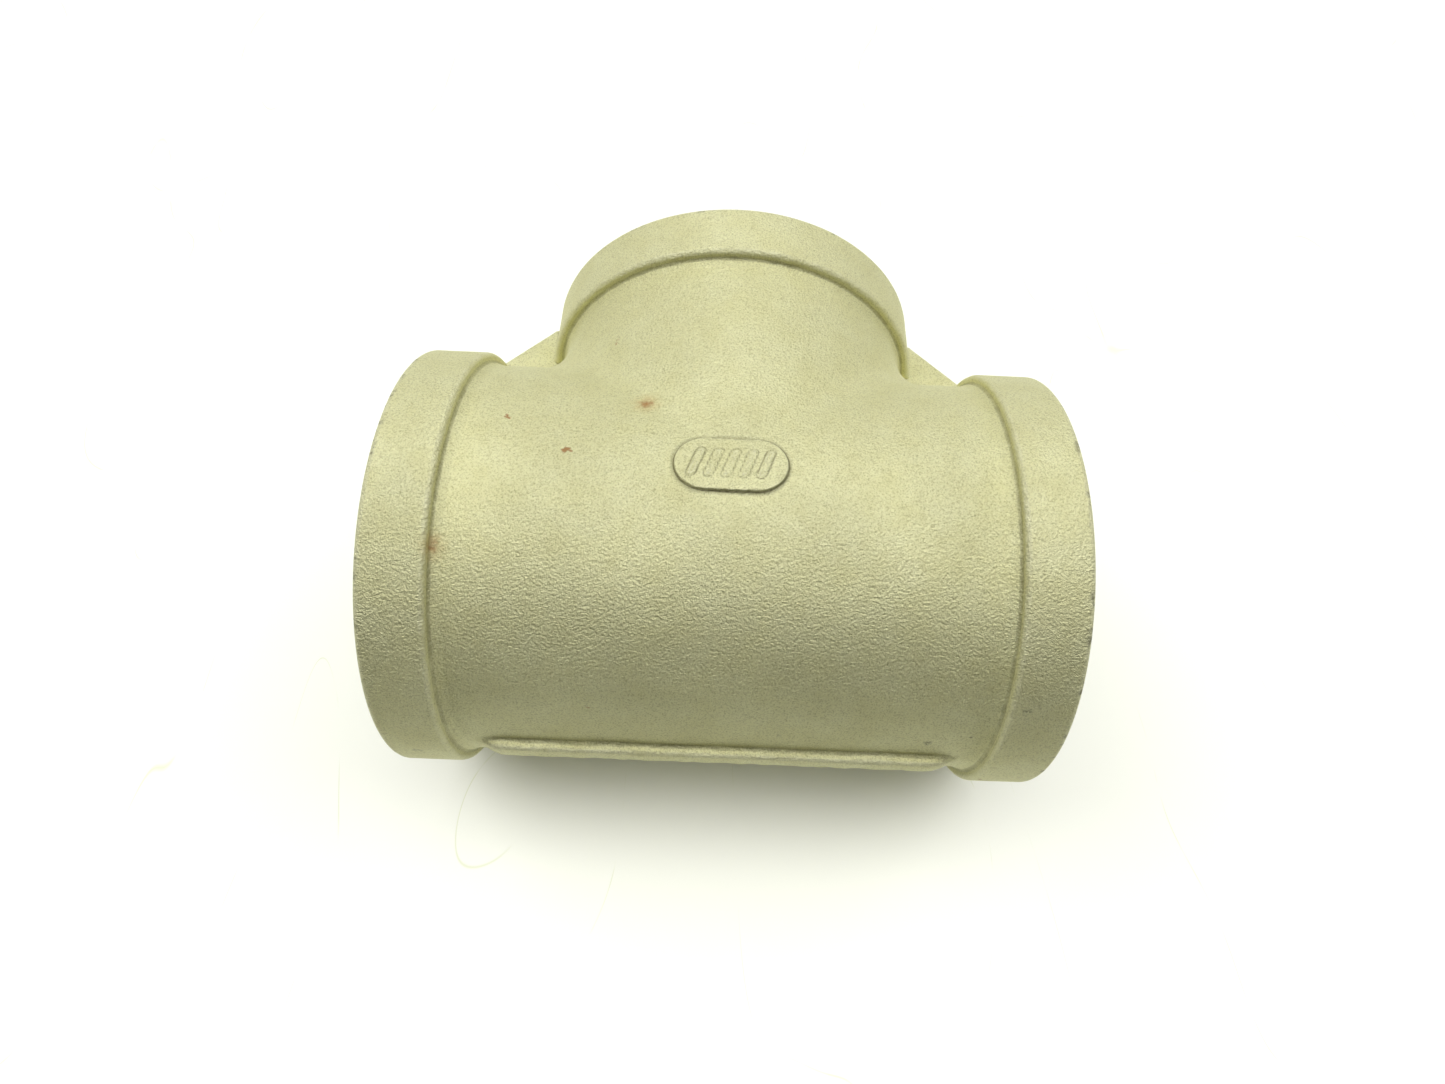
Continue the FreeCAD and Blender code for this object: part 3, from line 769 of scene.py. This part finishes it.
def turnedStainless():
    material, tree = newMaterial("turnedStainless")
    place = addNode(tree, "UVMap", uv_map="turned").outputs["UV"]
    stretched = addNode(tree, "Mapping", {"Scale": (0.01, 1 / turned["feed"], 1.0)}, {"Vector": place})
    marks = addNode(tree, "TexNoise", {"Scale": 1.0, "Detail": 2.0}, {"Vector": stretched.outputs["Vector"]})
    bump = addNode(tree, "Bump", {"Strength": 0.25, "Distance": 0.0001}, {"Height": marks.outputs["Fac"]})
    shader = addNode(tree, "BsdfPrincipled", {"Metallic": 1.0, "Roughness": turned["roughness"],
                                              "Base Color": toLinear(turned["metal"])},
                     {"Normal": bump.outputs["Normal"]})
    addNode(tree, "OutputMaterial", None, {"Surface": shader.outputs["BSDF"]})
    return material


castMetal = castStainless()
turnedMetal = turnedStainless()
casting.data.materials.append(castMetal)
casting.data.materials.append(turnedMetal)
sizePlate.data.materials.append(castMetal)
for piece in threadRings:
    piece.data.materials.append(turnedMetal)
print("materials made")


# ---- floor, light and camera

studio = {
    "floor": "#f7f8ee",
    "floorFront": -0.2,            # m, where the board ends in front
    "floorWide": 4.0,
    "scratch": "#dfe3c4",
    "room": "#cdd488",
    "roomStrength": 0.03,
}


# Painted white board, matt: near white, with hairline scratches that curve and fade.
def paleBoard():
    material, tree = newMaterial("paleBoard")
    place = addNode(tree, "TexCoord").outputs["Object"]
    laid = addNode(tree, "Mapping", {"Rotation": (0, 0, 0.6), "Scale": (1, 0.3, 1)}, {"Vector": place})
    lines = addNode(tree, "TexNoise", {"Scale": 14.0, "Detail": 1.0, "Distortion": 0.6},
                    {"Vector": laid.outputs["Vector"]})
    off = addNode(tree, "Math", {1: 0.5}, {0: lines.outputs["Fac"]}, operation="SUBTRACT")
    gap = addNode(tree, "Math", None, {0: off.outputs[0]}, operation="ABSOLUTE")
    line = addNode(tree, "MapRange", {"From Min": 0.0012, "From Max": 0.0, "To Max": 0.8},
                   {"Value": gap.outputs[0]})
    worn = addNode(tree, "TexNoise", {"Scale": 30.0, "Detail": 3.0}, {"Vector": place})
    shown = addNode(tree, "MapRange", {"From Min": 0.5, "From Max": 0.62}, {"Value": worn.outputs["Fac"]})
    scratch = addNode(tree, "Math", None, {0: line.outputs["Result"], 1: shown.outputs["Result"]},
                      operation="MULTIPLY")
    colour = addNode(tree, "Mix", {"A": toLinear(studio["floor"]), "B": toLinear(studio["scratch"])},
                     {"Factor": scratch.outputs[0]}, data_type="RGBA")
    shader = addNode(tree, "BsdfPrincipled", {"Roughness": 0.6}, {"Base Color": colour.outputs["Result"]})
    addNode(tree, "OutputMaterial", None, {"Surface": shader.outputs["BSDF"]})
    return material


floorMesh = bpy.data.meshes.new("floor")
wide, front = studio["floorWide"], studio["floorFront"]
floorCorners = [(-wide, front, 0), (wide, front, 0), (wide, wide, 0), (-wide, wide, 0)]
floorMesh.from_pydata(floorCorners, [], [(0, 1, 2, 3)])
floor = bpy.data.objects.new("floor", floorMesh)
bpy.context.scene.collection.objects.link(floor)
floorMesh.materials.append(paleBoard())

# the room gives a low even light and is seen as plain white behind the floor
world = bpy.data.worlds.new("studio")
bpy.context.scene.world = world
world.use_nodes = True
tree = world.node_tree
tree.nodes.clear()
room = addNode(tree, "Background", {"Color": toLinear(studio["room"]), "Strength": studio["roomStrength"]})
wall = addNode(tree, "Background", {"Color": (1, 1, 1, 1), "Strength": 1.0})
seen = addNode(tree, "LightPath").outputs["Is Camera Ray"]
both = addNode(tree, "MixShader", None, {0: seen, 1: room.outputs[0], 2: wall.outputs[0]})
addNode(tree, "OutputWorld", None, {"Surface": both.outputs[0]})


def softSun(name, strength, angle, place):
    lamp = bpy.data.lights.new(name, "SUN")
    lamp.energy, lamp.angle = strength, math.radians(angle)
    light = bpy.data.objects.new(name, lamp)
    light.rotation_mode = "QUATERNION"
    light.rotation_quaternion = Vector(place).to_track_quat("Z", "Y")
    bpy.context.scene.collection.objects.link(light)


softSun("topLight", 1.35, 40, (0, 0, 1))
softSun("leftLight", 1.05, 40, (-0.6, 0.2, 0.8))
softSun("rightLight", 0.87, 40, (0.6, 0.2, 0.8))
softSun("frontLight", 0.2, 40, (0, -0.35, 0.93))
softSun("wideLight", 0.98, 110, (0, 0.5, 0.87))

camera = {
    "place": (-3, -126, 257),    # mm from the crossing
    "down": 59.7,                # degrees that it looks below level
    "turned": 1.6,              # degrees that it looks to the right of straight up the branch
    "roll": 3.9,                # degrees that its right-hand side is raised
    "lens": 21.2,
    "shift": (-0.0055, -0.028),
}
eye = bpy.data.cameras.new("camera")
eye.sensor_width = 36
eye.lens = camera["lens"]
eye.shift_x, eye.shift_y = camera["shift"]
eye.clip_start, eye.clip_end = 0.01, 50
viewer = bpy.data.objects.new("camera", eye)
turns = [math.radians(degrees) for degrees in (90 - camera["down"], -camera["turned"], camera["roll"])]
viewer.rotation_mode = "QUATERNION"
viewer.rotation_quaternion = (Matrix.Rotation(turns[1], 3, "Z") @ Matrix.Rotation(turns[0], 3, "X")
                              @ Matrix.Rotation(turns[2], 3, "Z")).to_quaternion()
viewer.location = (np.array(camera["place"]) + crossing) / 1000
bpy.context.scene.collection.objects.link(viewer)
bpy.context.scene.camera = viewer
bpy.context.scene.view_settings.view_transform = "Standard"
print("stage made")
